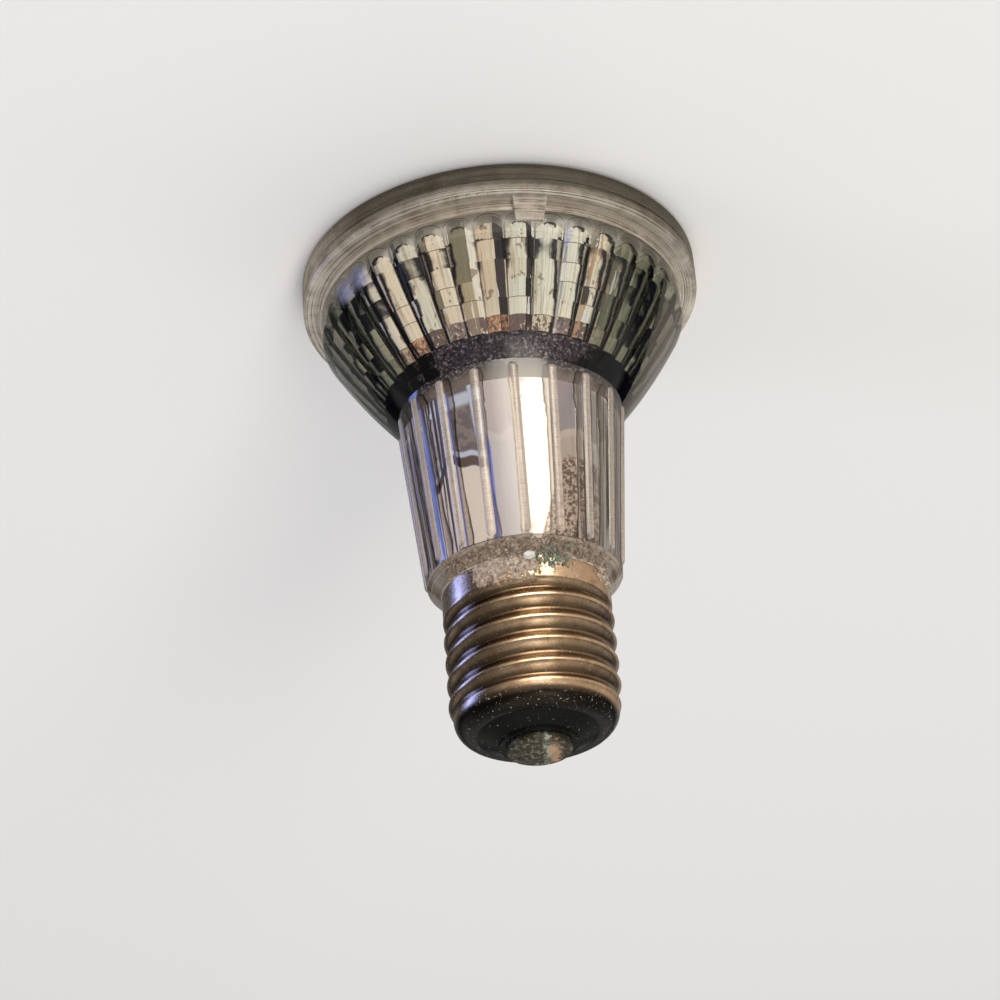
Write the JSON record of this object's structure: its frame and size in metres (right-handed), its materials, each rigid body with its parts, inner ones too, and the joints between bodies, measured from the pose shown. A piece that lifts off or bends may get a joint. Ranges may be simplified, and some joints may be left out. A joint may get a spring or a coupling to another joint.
{
  "type": "par spotlight bulb",
  "caption": "Reflector spotlight bulb: clear pressed glass bowl with fluted mirror inside, front lens, ribbed neck and round-thread screw cap, standing on its lens.",
  "frame": {"origin": "centre of the lens's standing ring, at the bottom of the part", "axes": "+Z along the bulb's axis from the lens to the cap's centre contact; -Y is the side with the locating lug and the solder bead"},
  "size_m": [0.0644, 0.0644, 0.0865],
  "materials": {
    "clear_glass": "clear pressed glass",
    "quartz": "clear quartz",
    "mirror_film": "bright evaporated metal",
    "seal_compound": "dull compound",
    "tungsten": "dull wire",
    "bright_wire": "bright drawn wire",
    "plated_steel": "satin plated",
    "lead_wire": "dull drawn wire",
    "aged_brass": "aged, tarnished and dusty",
    "black_glass": "glossy black with dust",
    "tarnished_metal": "dark tarnish",
    "solder": "dull grey bead",
    "cement": "crumbly cement"
  },
  "bodies": {
    "root": {"front_lens": "clear_glass", "lens_seal": "seal_compound", "reflector_glass": "clear_glass", "mirror_coating": "mirror_film", "capsule_envelope": "quartz", "filament": "tungsten", "filament_lead_short": "bright_wire", "filament_lead_long": "bright_wire", "foil_left": "bright_wire", "foil_right": "bright_wire", "capsule_pin_left": "bright_wire", "capsule_pin_right": "bright_wire", "support_post_left": "plated_steel", "support_post_right": "plated_steel", "ferrule_left": "plated_steel", "ferrule_right": "plated_steel", "side_lead_wire": "lead_wire", "centre_lead_wire": "lead_wire", "fuse_wire": "lead_wire", "contact_lead_wire": "lead_wire", "screw_shell": "aged_brass", "cap_insulator": "black_glass", "centre_contact": "tarnished_metal", "contact_solder": "solder", "side_solder": "solder", "cap_cement": "cement"}
  },
  "joints": []
}
